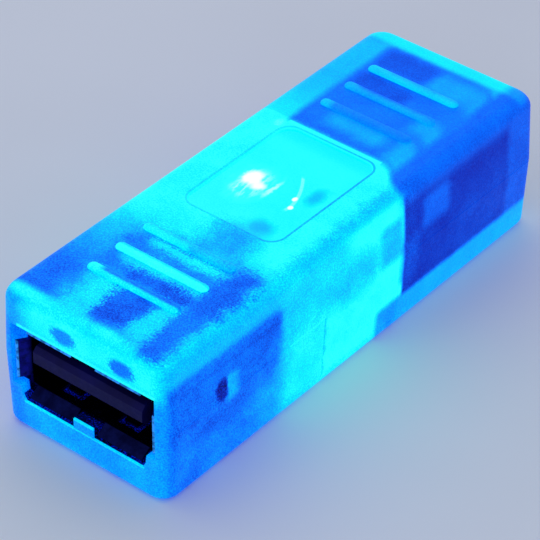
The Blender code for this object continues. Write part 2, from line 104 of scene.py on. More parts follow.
def rounded_rectangle(half_u, half_v, radius, steps=8):
    points = []
    for turn, (su, sv) in enumerate(((1, 1), (-1, 1), (-1, -1), (1, -1))):
        for i in range(steps + 1):
            angle = math.radians(90 * (turn + i / steps))
            u = su * (half_u - radius) + radius * math.cos(angle)
            v = sv * (half_v - radius) + radius * math.sin(angle)
            points.append((u, v))
    return points


def add_loft(bm, rings):
    rows = [[bm.verts.new(point) for point in ring] for ring in rings]
    count = len(rows[0])
    for low, high in zip(rows, rows[1:]):
        for i in range(count):
            j = (i + 1) % count
            bm.faces.new((low[i], low[j], high[j], high[i]))
    bm.faces.new(rows[0][::-1])
    bm.faces.new(rows[-1])


def add_prism(bm, outline, axis, low, high):
    def place(u, v, along):
        point = [u, v]
        point.insert("xyz".index(axis), along)
        return tuple(point)

    add_loft(bm, [[place(u, v, along) for u, v in outline] for along in (low, high)])


def add_box(bm, x, y, z):
    corners = ((x[0], y[0]), (x[1], y[0]), (x[1], y[1]), (x[0], y[1]))
    add_prism(bm, corners, "z", *z)


def add_lathe(bm, profile, centre, steps=32):
    rings = []
    for radius, z in profile:
        ring = []
        for i in range(steps):
            angle = 2 * math.pi * i / steps
            x = centre[0] + radius * math.cos(angle)
            y = centre[1] + radius * math.sin(angle)
            ring.append((x, y, z))
        rings.append(ring)
    add_loft(bm, rings)


def mirrored(pairs):
    return list(pairs) + [(-x, z) for x, z in reversed(pairs)]


def mesh_object(name, bm):
    bmesh.ops.recalc_face_normals(bm, faces=bm.faces)
    for vertex in bm.verts:
        vertex.co *= MM
    mesh = bpy.data.meshes.new(name)
    bm.to_mesh(mesh)
    bm.free()
    obj = bpy.data.objects.new(name, mesh)
    bpy.context.scene.collection.objects.link(obj)
    return obj


def combine(obj, operation, tool):
    modifier = obj.modifiers.new(tool.name, "BOOLEAN")
    modifier.operation = operation
    modifier.object = tool
    return tool


def apply_modifiers(obj, tools=()):
    """Bakes the modifiers into the mesh, then removes the cutters."""
    graph = bpy.context.evaluated_depsgraph_get()
    mesh = bpy.data.meshes.new_from_object(obj.evaluated_get(graph))
    obj.modifiers.clear()
    obj.data = mesh
    for tool in tools:
        bpy.data.objects.remove(tool, do_unlink=True)


def clean(obj, merge=0.004, flat_degrees=0.4):
    bm = bmesh.new()
    bm.from_mesh(obj.data)
    bmesh.ops.remove_doubles(bm, verts=bm.verts, dist=merge * MM)
    limit = math.radians(flat_degrees)
    bmesh.ops.dissolve_limit(bm, angle_limit=limit, verts=bm.verts, edges=bm.edges)
    bm.to_mesh(obj.data)
    bm.free()


def smooth(obj, angle=40):
    obj.data.shade_smooth()
    obj.data.set_sharp_from_angle(angle=math.radians(angle))


# Housing shells


def lean(z):
    return DRAFT * abs(z - SEAM_Z) / SEAM_Z


def housing_levels():
    levels = []
    for i in range(9):
        angle = math.radians(90 * i / 8)
        levels.append((BOTTOM_ROUND * (1 - math.cos(angle)), BOTTOM_ROUND * (1 - math.sin(angle))))
    levels.append((SEAM_Z, 0.0))
    for i in range(13):
        angle = math.radians(90 * i / 12)
        z = HEIGHT - TOP_ROUND * (1 - math.sin(angle))
        levels.append((z, TOP_ROUND * (1 - math.cos(angle))))
    return levels


def plan_ring(z, side_inset, end_inset, radius):
    outline = rounded_rectangle(WIDTH / 2 - side_inset, LENGTH / 2 - end_inset, radius)
    return [(x, y, z) for x, y in outline]


def housing_body(name):
    bm = bmesh.new()
    rings = []
    for z, inset in housing_levels():
        rings.append(plan_ring(z, inset + lean(z), inset, CORNER_RADIUS))
    add_loft(bm, rings)
    return mesh_object(name, bm)


def inside_tools(shell):
    """The lamp chamber, the two socket pockets and their openings."""
    chamber = bmesh.new()
    side = WALL + DRAFT
    near, far = CHAMBER_Y
    levels = (
        (FLOOR_Z, side + 0.2),
        (FLOOR_Z + 0.3, side - 0.05),
        (SEAM_Z, WALL),
        (ROOF_Z - 0.5, side - 0.1),
        (ROOF_Z, side + 0.4),
    )
    rings = []
    for z, inset in levels:
        outline = rounded_rectangle(WIDTH / 2 - inset, (far - near) / 2, 0.7)
        rings.append([(x, y + (far + near) / 2, z) for x, y in outline])
    add_loft(chamber, rings)
    tools = [combine(shell, "DIFFERENCE", mesh_object("chamber_tool", chamber))]

    pockets = bmesh.new()
    end = LENGTH / 2 - WALL
    a_outline = rounded_rectangle(A_POCKET_X, (A_POCKET_TOP - FLOOR_Z) / 2, 0.6)
    a_outline = [(x, z + (A_POCKET_TOP + FLOOR_Z) / 2) for x, z in a_outline]
    add_prism(pockets, a_outline, "y", -end, near + 0.2)
    b_outline = rounded_rectangle(B_POCKET_X, (B_POCKET_TOP - FLOOR_Z) / 2, 0.6)
    b_outline = [(x, z + (B_POCKET_TOP + FLOOR_Z) / 2) for x, z in b_outline]
    add_prism(pockets, b_outline, "y", far - 0.2, end)
    tools.append(combine(shell, "DIFFERENCE", mesh_object("pocket_tool", pockets)))

    ports = bmesh.new()
    bottom, shoulder, top = A_Z - 3.6, A_Z - 2.2, A_Z + 3.65
    lip_outline = mirrored(
        (
            (A_BLOCK_X, A_BLOCK_TOP),  # block between the two lower lips
            (A_BLOCK_X, bottom),
            (6.0, bottom),
            (6.35, A_Z - 3.0),
            (6.45, shoulder),
            (7.3, shoulder),
            (7.3, top),
        )
    )
    add_prism(ports, lip_outline, "y", NEAR_Y - 1, A_FRONT_Y + 0.4)
    b_port = rounded_rectangle(B_POCKET_X - 0.05, B_HALF_Z + 0.25, 0.5)
    add_prism(ports, [(x, z + B_Z) for x, z in b_port], "y", end - 0.6, LENGTH / 2 + 1)
    tools.append(combine(shell, "DIFFERENCE", mesh_object("port_tool", ports)))
    return tools


def upper_region(grow):
    half = TONGUE_HALF + grow
    bm = bmesh.new()
    add_box(bm, (-10.0, 10.0), (-30.0, 30.0), (SEAM_Z - grow, 20.0))
    region = mesh_object("upper_region_tool", bm)
    tongues = bmesh.new()
    inner = WIDTH / 2 - TONGUE_DEPTH
    for side in (-1, 1):
        x = sorted((side * inner, side * 10.0))
        add_box(tongues, x, (-half, half), (TONGUE_Z - grow, 12.0))
    tool = combine(region, "UNION", mesh_object("tongue_tool", tongues))
    apply_modifiers(region, [tool])
    return region


def add_grips(bm):
    profile = ((-0.2, 0.0), (0.06, 0.0), (0.14, 0.03), (0.21, 0.08), (0.27, 0.15))
    profile += ((0.32, 0.25), (GRIP_RISE, 0.4))
    for end in (-1, 1):
        for i in range(3):
            y = end * (LENGTH / 2 - GRIP_FIRST - GRIP_PITCH * i)
            rings = []
            for rise, inset in profile:
                half_v = GRIP_WIDTH / 2 - inset
                outline = rounded_rectangle(GRIP_LENGTH / 2 - inset, half_v, half_v - 0.01, 6)
                rings.append([(u, y + v, HEIGHT + rise) for u, v in outline])
            add_loft(bm, rings)


def make_upper_shell():
    shell = housing_body("shell_upper")
    tools = inside_tools(shell)
    tools.append(combine(shell, "INTERSECT", upper_region(0.0)))

    added = bmesh.new()
    add_grips(added)
    above_seam = SEAM_Z + 0.2
    partition = ((6.3, 3.6), (6.3, above_seam), (7.8, above_seam), (7.8, ROOF_Z - 0.4))
    add_prism(added, mirrored(partition), "y", CHAMBER_Y[0] - 0.4, CHAMBER_Y[0] + 0.4)
    for side in (-1, 1):
        add_box(added, sorted(side * x for x in STOP_X), STOP_Y, (above_seam, ROOF_Z - 0.3))
        pin = ((0.5, 3.6), (0.6, 3.8), (0.6, 5.5), (1.1, 5.5), (1.1, ROOF_Z + 0.3))
        add_lathe(added, pin, (side * POST_X, POST_Y), 20)
    tools.append(combine(shell, "UNION", mesh_object("feature_tool", added)))

    window = bmesh.new()
    rings = []
    for z, grow in ((HEIGHT - WINDOW_DEPTH, -0.06), (HEIGHT - 0.04, 0.0), (HEIGHT + 0.5, 0.1)):
        half_x = WINDOW_HALF_X + grow
        half_y = WINDOW_HALF_Y + grow
        outline = rounded_rectangle(half_x, half_y, WINDOW_RADIUS + grow, 12)
        rings.append([(x, y + WINDOW_Y, z) for x, y in outline])
    add_loft(window, rings)
    tools.append(combine(shell, "DIFFERENCE", mesh_object("window_tool", window)))
    apply_modifiers(shell, tools)
    return shell


def make_lower_shell():
    shell = housing_body("shell_lower")
    tools = inside_tools(shell)
    tools.append(combine(shell, "DIFFERENCE", upper_region(SEAM_GAP)))

    added = bmesh.new()
    for y in RIB_Y:
        add_box(added, (-6.2, 6.2), (y, y + 0.6), (FLOOR_Z - 0.3, 1.85))
    for side in (-1, 1):
        add_box(added, sorted(side * x for x in STOP_X), STOP_Y, (FLOOR_Z - 0.3, SEAM_Z - 0.9))
        add_lathe(added, ((1.25, FLOOR_Z - 0.3), (1.25, 5.2)), (side * POST_X, POST_Y), 20)
    tools.append(combine(shell, "UNION", mesh_object("feature_tool", added)))

    holes = bmesh.new()
    for side in (-1, 1):
        add_lathe(holes, ((0.8, 2.6), (0.8, 5.6)), (side * POST_X, POST_Y), 20)
    tools.append(combine(shell, "DIFFERENCE", mesh_object("hole_tool", holes)))
    apply_modifiers(shell, tools)
    return shell


# Materials


class Nodes:
    """Short calls for the nodes of one material. Numbers and sockets both go in as inputs."""

    def __init__(self, name):
        self.material = bpy.data.materials.new(name)
        self.material.use_nodes = True
        self.tree = self.material.node_tree
        self.shader = self.tree.nodes["Principled BSDF"]

    def set(self, node, key, value):
        socket = node.inputs[key]
        if isinstance(value, bpy.types.NodeSocket):
            self.tree.links.new(value, socket)
        else:
            socket.default_value = value

    def math(self, operation, *values):
        node = self.tree.nodes.new("ShaderNodeMath")
        node.operation = operation
        for i, value in enumerate(values):
            self.set(node, i, value)
        return node.outputs[0]

    def add(self, *values):
        total = values[0]
        for value in values[1:]:
            total = self.math("ADD", total, value)
        return total

    def times(self, *values):
        total = values[0]
        for value in values[1:]:
            total = self.math("MULTIPLY", total, value)
        return total

    def inverse(self, value):
        return self.math("SUBTRACT", 1.0, value)

    def ramp(self, value, low, high, start=0.0, end=1.0, smooth=True):
        """start at low, end at high, eased in between."""
        node = self.tree.nodes.new("ShaderNodeMapRange")
        node.interpolation_type = "SMOOTHSTEP" if smooth else "LINEAR"
        limits = {"From Min": low, "From Max": high, "To Min": start, "To Max": end}
        for key, number in limits.items():
            self.set(node, key, number)
        self.set(node, "Value", value)
        return node.outputs["Result"]

    def between(self, value, low, high, edge):
        """1 inside low to high, fading to 0 over edge outside it."""
        rise = self.ramp(value, low - edge, low)
        fall = self.ramp(value, high, high + edge, 1.0, 0.0)
        return self.times(rise, fall)

    def vector(self, operation, *values):
        node = self.tree.nodes.new("ShaderNodeVectorMath")
        node.operation = operation
        for i, value in enumerate(values):
            self.set(node, i, value)
        return node.outputs[0]

    def length(self, vector):
        node = self.tree.nodes.new("ShaderNodeVectorMath")
        node.operation = "LENGTH"
        self.set(node, 0, vector)
        return node.outputs["Value"]

    def flat(self, u, v):
        """A place on a face, as one vector."""
        node = self.tree.nodes.new("ShaderNodeCombineXYZ")
        self.set(node, 0, u)
        self.set(node, 1, v)
        return node.outputs[0]

    def box(self, place, u, v, edge):
        """1 inside the box u by v, fading to 0 across an edge of that width, corners rounded."""
        centre = ((u[0] + u[1]) / 2, (v[0] + v[1]) / 2, 0)
        half = (max(u[1] - u[0] - edge, 0) / 2, max(v[1] - v[0] - edge, 0) / 2, 0)
        offset = self.vector("ABSOLUTE", self.vector("SUBTRACT", place, centre))
        outside = self.vector("MAXIMUM", self.vector("SUBTRACT", offset, half), (0, 0, 0))
        return self.ramp(self.length(outside), 0.0, edge, 1.0, 0.0)

    def spot(self, place, u, v, radius_u, radius_v, edge=0.6):
        """1 in the middle of an ellipse, 0 outside it. edge is the faded part of its radius."""
        offset = self.vector("SUBTRACT", place, (u, v, 0))
        offset = self.vector("MULTIPLY", offset, (1 / radius_u, 1 / radius_v, 0))
        return self.ramp(self.length(offset), 1 - edge, 1.0, 1.0, 0.0)

    def toward(self, value, level, mask):
        """value, pulled to level where mask is 1."""
        node = self.tree.nodes.new("ShaderNodeMix")
        node.data_type = "FLOAT"
        self.set(node, 0, mask)
        self.set(node, 2, value)
        self.set(node, 3, level)
        return node.outputs[0]

    def layers(self, value, place, boxes, share=None):
        """Each box is (u, v, edge, level). share limits them all."""
        for u, v, edge, level in boxes:
            mask = self.box(place, u, v, edge)
            value = self.toward(value, level, self.times(mask, share) if share else mask)
        return value

    def position(self):
        """Row-frame position in millimetres, as X, Y and Z sockets."""
        coordinates = self.tree.nodes.new("ShaderNodeTexCoord")
        scale = self.tree.nodes.new("ShaderNodeVectorMath")
        scale.operation = "SCALE"
        self.tree.links.new(coordinates.outputs["Object"], scale.inputs[0])
        scale.inputs["Scale"].default_value = 1 / MM
        split = self.tree.nodes.new("ShaderNodeSeparateXYZ")
        self.tree.links.new(scale.outputs[0], split.inputs[0])
        self.place = scale.outputs[0]
        return split.outputs

    def noise(self, scale, detail=3.0, roughness=0.55, vector=None):
        """Noise over the row frame. scale is features per millimetre."""
        node = self.tree.nodes.new("ShaderNodeTexNoise")
        self.tree.links.new(vector or self.place, node.inputs["Vector"])
        node.inputs["Scale"].default_value = scale
        node.inputs["Detail"].default_value = detail
        node.inputs["Roughness"].default_value = roughness
        return node.outputs["Fac"]

    def colour(self, red, green, blue):
        node = self.tree.nodes.new("ShaderNodeCombineColor")
        for i, value in enumerate((red, green, blue)):
            self.set(node, i, value)
        return node.outputs[0]

    def blend(self, factor, first, second):
        node = self.tree.nodes.new("ShaderNodeMix")
        node.data_type = "RGBA"
        self.set(node, 0, factor)
        for key, value in ((6, first), (7, second)):
            self.set(node, key, value)
        return node.outputs[2]

    def bump(self, height, strength, distance):
        node = self.tree.nodes.new("ShaderNodeBump")
        node.inputs["Strength"].default_value = strength
        node.inputs["Distance"].default_value = distance * MM
        self.tree.links.new(height, node.inputs["Height"])
        self.tree.links.new(node.outputs[0], self.shader.inputs["Normal"])

    def finish(self, **inputs):
        for key, value in inputs.items():
            self.set(self.shader, key.replace("_", " "), value)
        return self.material


# Painted glow and shade of the frosted skin, from 0 (dark) to 1 (full cyan) and above (white).
# "along" is measured from the socket A end, "across" from the middle line.

# Top over socket A: (across, along, edge, level)
NEAR_TOP = (
    ((-4.8, 4.9), (1.6, 13.0), 2.4, 0.56),
    ((-3.6, -0.6), (0.8, 6.4), 1.8, 0.86),  # light through the openings in the can's roof
    ((2.6, 5.2), (1.6, 8.8), 1.8, 0.84),
    ((-1.1, 2.6), (1.8, 6.1), 1.0, 0.37),  # painted shade of the can's roof between them
    ((-4.8, -1.2), (6.7, 8.6), 1.4, 0.5),
    ((-1.8, 4.6), (6.9, 8.6), 1.0, 0.36),
    ((-3.6, 4.8), (8.3, 9.6), 1.0, 0.86),
    ((-4.9, 4.0), (10.3, 11.1), 0.8, 0.5),
    ((-2.8, 5.2), (10.9, 12.3), 1.1, 0.9),
    ((-3.4, 4.4), (12.0, 12.7), 0.7, 0.58),
    ((0.0, 4.4), (12.6, 14.4), 1.2, 0.7),
    ((-0.3, 3.6), (13.6, 17.6), 3.0, 0.66),  # painted shade of the block's back
    ((4.6, 7.6), (0.8, 13.3), 1.2, 0.42),  # painted shade of the can's side, deep in the wall
    ((7.2, 12.0), (0.8, 30.0), 1.4, 0.8),
)
# Top over socket B
FAR_TOP = (
    ((-5.2, 6.4), (31.3, 45.4), 1.0, 0.44),
    ((-2.8, 3.0), (32.6, 34.5), 1.8, 0.64),
    ((4.0, 6.5), (31.5, 35.0), 1.8, 0.66),
    ((3.2, 6.5), (36.0, 38.4), 1.8, 0.62),
    ((0.4, 6.5), (41.8, 44.8), 2.2, 0.62),
    ((-4.6, 0.8), (38.6, 41.0), 1.6, 0.32),
    ((-4.8, 0.5), (42.2, 45.0), 1.6, 0.32),
    ((6.1, 12.0), (31.2, 60.0), 1.1, 0.4),
)
# Painted highlights where the grip ribs' crests catch the light
RIB_HIGHLIGHTS = (
    ((-4.8, 4.8), (5.8, 7.1), 0.3, 0.48),
    ((-4.6, 4.6), (5.6, 6.1), 0.3, 0.9),
    ((-5.0, -3.2), (5.8, 7.2), 0.9, 0.98),
    ((-4.9, 4.9), (8.8, 10.4), 0.25, 0.86),
    ((-4.9, 4.9), (8.8, 9.55), 0.35, 1.02),
    ((-4.9, 0.8), (12.0, 13.4), 0.6, 0.8),
    ((-4.9, 0.8), (12.0, 12.75), 0.5, 0.94),
    ((0.2, 4.9), (12.0, 12.8), 0.6, 0.74),
    ((-4.9, 4.9), (34.4, 35.4), 0.3, 0.5),
    ((-5.0, -3.4), (34.2, 35.6), 0.9, 0.72),
    ((-4.8, 3.8), (37.6, 38.3), 0.6, 0.62),
    ((-5.0, -3.4), (37.6, 39.0), 0.9, 0.66),
    ((-4.9, 4.9), (40.8, 42.2), 0.5, 0.64),
    ((-4.9, 4.9), (40.7, 41.5), 0.6, 0.78),
    ((-4.9, -2.6), (40.8, 42.2), 1.2, 0.78),
)
# Sides: (along, height, edge, level)
SIDES = (
    ((-3.0, 13.5), (-4.0, 11.2), 1.4, 0.46),  # painted shade of socket A behind the wall
    ((-3.0, 13.5), (9.5, 10.9), 1.0, 0.38),
    ((-3.0, 13.4), (9.6, 10.1), 0.5, 0.3),
    ((-3.0, 13.0), (4.4, 9.9), 2.0, 0.4),
    ((6.9, 8.3), (6.2, 8.7), 1.0, 0.64),
    ((10.5, 17.5), (0.0, 5.0), 4.0, 0.62),
    ((13.8, 19.4), (0.4, 7.2), 3.2, 0.93),
    ((18.8, 27.0), (0.6, 7.8), 2.0, 0.99),  # painted glow of the lamp chamber
    ((21.8, 29.2), (9.6, 15.0), 2.6, 1.0),
    ((19.4, 25.2), (7.4, 10.2), 3.0, 0.78),
    ((26.3, 28.9), (7.0, 11.0), 1.0, 0.74),
    ((26.2, 29.6), (2.6, 7.4), 1.0, 1.0),
    ((26.0, 29.8), (-4.0, 2.9), 0.9, 0.6),
    ((14.5, 19.0), (6.8, 7.0), 0.2, 0.98),  # painted highlight along the seam
    ((18.9, 19.1), (1.0, 6.9), 0.2, 0.84),
    ((29.3, 50.0), (-4.0, 12.6), 0.5, 0.2),  # painted shade of socket B behind the wall
    ((29.4, 50.0), (11.8, 16.0), 1.6, 0.36),
    ((29.2, 31.3), (4.2, 8.4), 1.4, 0.28),
    ((31.8, 35.4), (8.3, 11.2), 1.4, 0.38),
    ((36.0, 44.0), (2.6, 8.4), 4.0, 0.25),
    ((43.6, 50.0), (2.4, 14.0), 1.0, 0.34),
    ((28.6, 50.0), (-4.0, 2.9), 0.8, 0.66),
)
# Face round socket A: (across, height, edge, level)
NEAR_FACE = (
    ((-12.0, -6.4), (-1.0, 10.2), 1.8, 0.5),
    ((-5.8, 8.0), (9.9, 16.0), 2.4, 0.97),
    ((-6.6, 7.4), (10.1, 10.4), 0.25, 1.0),  # painted highlights on the opening's edges
    ((-1.1, 1.1), (3.68, 4.1), 0.15, 0.9),
    ((-6.2, 6.2), (2.72, 2.9), 0.12, 0.85),
)
# Face round socket B
FAR_FACE = (
    ((-6.9, 6.9), (0.6, 12.6), 1.4, 0.5),
    ((-6.5, 6.5), (1.1, 12.1), 0.5, 0.8),
)


def top_light(n, x, along, z, wave, shift):
    """Painted glow and shade of the top, from the socket A end to the socket B end, with painted
    highlights on its grip ribs.
    """
    grainy_place = n.flat(n.add(x, shift), n.add(along, n.times(shift, -0.8)))
    top = n.ramp(along, 5.0, 16.5, 0.45, 0.98)
    top = n.toward(top, 0.97, n.ramp(along, 1.0, 1.9, 1.0, 0.0))
    top = n.layers(top, grainy_place, NEAR_TOP)
    # Over socket B it is painted darker, as shade. That part's edge runs back towards the corner.
    slant = n.add(along, n.ramp(x, 4.6, 7.8, 0.0, 2.1))
    far_strip = n.ramp(along, 30.5, 38.0, 0.93, 0.7)
    top = n.toward(top, far_strip, n.ramp(slant, 31.3, 31.6))
    far_wave = n.times(wave, 0.4)
    top = n.layers(top, n.flat(n.add(x, far_wave), n.add(slant, far_wave)), FAR_TOP)
    rim = n.toward(0.9, 0.55, n.ramp(x, 5.6, 7.0))
    top = n.toward(top, rim, n.ramp(along, 45.2, 46.0))
    crest = n.ramp(z, HEIGHT + 0.02, HEIGHT + 0.12)
    return n.layers(top, n.flat(x, along), RIB_HIGHLIGHTS, crest)


def paint_lamp_glow(n, top, x, along, wave):
    """Painted glow of the lamp's dome under the window, with painted bright streaks and two soft
    painted shadows.
    """
    place = n.flat(x, along)
    wavy_place = n.flat(n.add(x, wave), n.add(along, wave))
    flare = n.flat(n.add(x, wave), along)
    top = n.toward(top, 0.7, n.spot(wavy_place, 2.4, 18.6, 1.6, 1.5, 0.9))
    top = n.toward(top, 0.74, n.spot(wavy_place, 3.3, 24.3, 1.1, 1.8, 0.9))
    stretched = n.vector("MULTIPLY", n.place, (1.0, 0.28, 1.0))
    streaks = n.ramp(n.noise(2.2, 3.0, 0.6, stretched), 0.35, 0.65)
    fan = n.spot(flare, -1.9, 22.5, 2.3, 3.2, 0.7)
    top = n.toward(top, 1.2, n.times(fan, n.ramp(streaks, 0.0, 1.0, 0.3, 1.0)))
    top = n.toward(top, 1.22, n.times(n.spot(flare, -0.1, 23.0, 0.35, 2.4, 0.9), 0.9))
    top = n.toward(top, 1.4, n.spot(flare, -1.3, 22.6, 0.9, 0.9, 0.9))
    top = n.toward(top, 1.6, n.spot(flare, -2.3, 23.3, 1.15, 1.25, 0.9))
    # Painted thin curved glint on the dome's side, with two painted bright points
    past_bend = n.math("ABSOLUTE", n.math("SUBTRACT", along, 22.0))
    arc_x = n.add(x, n.times(n.math("POWER", past_bend, 1.7), 0.17))
    arc = n.times(n.between(arc_x, 2.35, 2.55, 0.15), n.between(along, 21.6, 25.6, 0.4))
    top = n.toward(top, 1.12, arc)
    top = n.toward(top, 1.4, n.spot(place, 2.55, 22.0, 0.3, 0.35, 0.6))
    return n.toward(top, 1.4, n.spot(place, 2.1, 23.1, 0.28, 0.4, 0.6))


def paint_window_edge_light(n, top, x, y, z, along):
    """Painted shade as a thin dark line round the window, and a painted bright strip past its far
    edge.
    """
    core = (WINDOW_HALF_X - WINDOW_RADIUS, WINDOW_HALF_Y - WINDOW_RADIUS, 0)
    offset = n.vector("ABSOLUTE", n.flat(x, n.math("SUBTRACT", y, WINDOW_Y)))
    outside = n.vector("MAXIMUM", n.vector("SUBTRACT", offset, core), (0, 0, 0))
    line = n.between(n.length(outside), WINDOW_RADIUS + 0.04, WINDOW_RADIUS + 0.16, 0.06)
    on_top = n.ramp(z, HEIGHT - 0.04, HEIGHT - 0.01)
    line = n.times(line, n.ramp(x, -5.0, 4.0, 0.35, 1.0), on_top)
    top = n.toward(top, 0.72, line)
    place = n.flat(x, along)
    top = n.toward(top, 1.0, n.box(place, (-4.9, 4.6), (30.85, 31.3), 0.15))
    return n.toward(top, 1.06, n.spot(place, -5.4, 30.4, 0.6, 0.8, 0.6))


def side_light(n, along, z, wave):
    """The sides, the same on both, with painted shade at socket A's three dimples."""
    calm = n.times(wave, n.ramp(along, 25.0, 28.0, 0.6, 0.12))
    place = n.flat(n.add(along, calm), n.add(z, n.times(calm, -1.0)))
    side = n.layers(n.ramp(along, 13.4, 16.0, 0.74, 0.85), place, SIDES)
    side = n.toward(side, 0.12, n.spot(place, 6.35, 7.8, 0.95, 1.3, 0.45))
    side = n.toward(side, 0.28, n.times(n.spot(place, 3.0, 6.6, 0.9, 0.7, 0.9), 0.7))
    return n.toward(side, 0.28, n.times(n.spot(place, 11.5, 6.8, 0.8, 0.7, 0.9), 0.7))


def front_light(n, x, z, place, shift):
    """The face round socket A, with two painted dark ovals of shade over the opening."""
    face = n.layers(0.61, place, NEAR_FACE)
    for middle in (-1.8, 4.2):
        oval = n.spot(n.flat(n.add(x, n.times(shift, 0.7)), z), middle, 11.4, 1.5, 0.95, 0.5)
        face = n.toward(face, 0.5, oval)
    return face


def shade_socket(n, light, across, along, z):
    """The can keeps the light out of socket A's pocket and off the floor of its opening."""
    pocket = n.times(
        n.ramp(across, A_POCKET_X + 0.02, A_POCKET_X + 0.1, 1.0, 0.0),
        n.between(z, FLOOR_Z - 0.05, A_POCKET_TOP + 0.05, 0.06),
        n.between(along, WALL - 0.05, 16.0, 0.1),
    )
    light = n.toward(light, 0.01, pocket)
    floor = n.times(
        n.between(along, 0.2, 2.0, 0.06),
        n.ramp(across, 6.3, 6.35, 1.0, 0.0),
        n.between(z, 2.6, 4.2, 0.05),
    )
    return n.toward(light, 0.04, floor)


def frosted_material():
    """Painted glow of the lamp in the frosted skin: brightest round the lamp, with painted shade
    over the sockets.
    """
    n = Nodes("frosted_shell")
    x, y, z = n.position()
    across = n.math("ABSOLUTE", x)
    along = n.math("SUBTRACT", y, NEAR_Y)

    # The frosted surface scatters what lies behind it, so each edge is grainy and wavy.
    grain = n.times(n.math("SUBTRACT", n.noise(5.5, 2.0, 0.7), 0.5), 2.6)
    cloud = n.times(n.math("SUBTRACT", n.noise(0.5, 3.0), 0.5), 2.4)
    shift = n.add(grain, cloud)
    wave = n.times(n.math("SUBTRACT", n.noise(0.7, 4.0), 0.5), 1.4)

    top = top_light(n, x, along, z, wave, shift)
    top = paint_lamp_glow(n, top, x, along, wave)
    top = paint_window_edge_light(n, top, x, y, z, along)
    side = side_light(n, along, z, wave)
    face_place = n.flat(n.add(x, n.times(wave, 0.5)), z)
    face = front_light(n, x, z, face_place, shift)
    far_face = n.layers(0.75, face_place, FAR_FACE)

    light = n.toward(side, top, n.ramp(z, 12.5, 13.2))
    under_top = n.ramp(z, 12.6, 13.2, 1.0, 0.0)
    light = n.toward(light, face, n.times(n.ramp(along, 0.15, 0.9, 1.0, 0.0), under_top))
    light = n.toward(light, far_face, n.ramp(along, LENGTH - 0.5, LENGTH - 0.1))
    # Painted shade along the bottom edge.
    light = n.toward(light, n.times(light, 0.85), n.ramp(z, 0.1, 0.6, 1.0, 0.0))
    light = shade_socket(n, light, across, along, z)

    in_window = n.times(
        n.ramp(across, WINDOW_HALF_X - 0.03, WINDOW_HALF_X + 0.03, 1.0, 0.0),
        n.between(y, WINDOW_Y - WINDOW_HALF_Y, WINDOW_Y + WINDOW_HALF_Y, 0.03),
        n.ramp(z, HEIGHT - WINDOW_DEPTH - 0.1, HEIGHT - WINDOW_DEPTH - 0.05),
    )

    # Painted glow made uneven by the moulding and fine grain, weaker in the window, at the far end
    # and where it is brightest
    speckle = n.ramp(n.noise(7.5, 2.0, 0.6), 0.3, 0.7, -0.1, 0.1)
    patches = n.ramp(n.noise(0.35, 2.0), 0.3, 0.7, -0.05, 0.05)
    uneven = n.times(n.add(speckle, patches), n.ramp(light, 0.8, 1.05, 1.0, 0.3))
    uneven = n.times(uneven, n.ramp(along, 25.0, 34.0, 1.0, 0.45))
    light = n.add(light, n.times(uneven, n.ramp(in_window, 0.0, 1.0, 1.0, 0.3)))

    # The painted glow's colour, from dark blue through azure and cyan to white. The display's curve
    # is undone by the power.
    green = n.math("POWER", n.ramp(light, 0.0, 1.0, smooth=False), DISPLAY_POWER)
    blue = n.times(n.ramp(light, 0.0, 0.4, 0.5, 0.985, smooth=False), n.ramp(light, 0.0, 0.1))
    blue = n.math("POWER", blue, DISPLAY_POWER)
    red = n.add(n.ramp(light, 0.93, 1.02, 0.0, 0.02), n.ramp(light, 1.02, 1.4))

    rough = n.ramp(in_window, 0.0, 1.0, 0.42, 0.06)
    uneven_rough = n.ramp(n.noise(2.0), 0.3, 0.7, -0.06, 0.06)
    rough = n.add(rough, n.times(uneven_rough, n.inverse(in_window)))
    texture = n.times(n.noise(6.5, 3.0, 0.6), n.inverse(in_window))
    n.bump(texture, 0.4, 0.05)
    # The base colour follows the painted glow too: painted shade where it is dim, lighter where it
    # is bright.
    return n.finish(
        Base_Color=n.blend(n.ramp(light, 0.2, 0.9), (0.0, 0.005, 0.05, 1), (0.0, 0.05, 0.12, 1)),
        Roughness=rough,
        IOR=1.45,
        Specular_IOR_Level=0.08,
        Emission_Color=n.colour(red, green, blue),
        Emission_Strength=1.0,
    )


def socket_metal():
    """Plated sheet, painted dark and in the lamp's blue as shade and blue light. The sheared edges
    of the flared lips get a painted highlight.
    """
    n = Nodes("plated_steel")
    x, y, z = n.position()
    shade = n.ramp(n.noise(0.9, 4.0), 0.3, 0.7)
    tip = n.ramp(y, A_FRONT_Y - 0.93, A_FRONT_Y - 0.84, 1.0, 0.0)
    edge = n.times(tip, n.ramp(z, 4.2, 4.5))  # painted highlight on the sheared edges, not on the lower lips, which stay dark
    # The painted highlight and glow vary in patches.
    patchy_glint = n.ramp(n.noise(2.4, 3.0), 0.35, 0.6, 0.35, 1.0)
    # Faint painted glow on the flared side lips.
    flared = n.times(
        n.ramp(y, A_FRONT_Y - 0.1, A_FRONT_Y + 0.1, 1.0, 0.0),
        n.ramp(n.math("ABSOLUTE", x), 6.2, 6.5),
    )
    glow = n.blend(flared, (0.0, 0.0, 0.0, 1), (0.002, 0.002, 0.11, 1))
    n.bump(n.noise(9.0, 2.0), 0.15, 0.02)
    return n.finish(
        Base_Color=n.blend(shade, (0.002, 0.003, 0.03, 1), (0.006, 0.009, 0.08, 1)),
        Metallic=1.0,
        Roughness=n.ramp(n.noise(3.0, 3.0), 0.3, 0.7, 0.2, 0.36),
        Emission_Color=n.blend(edge, glow, (0.03, 0.3, 1.0, 1)),
        Emission_Strength=patchy_glint,
    )


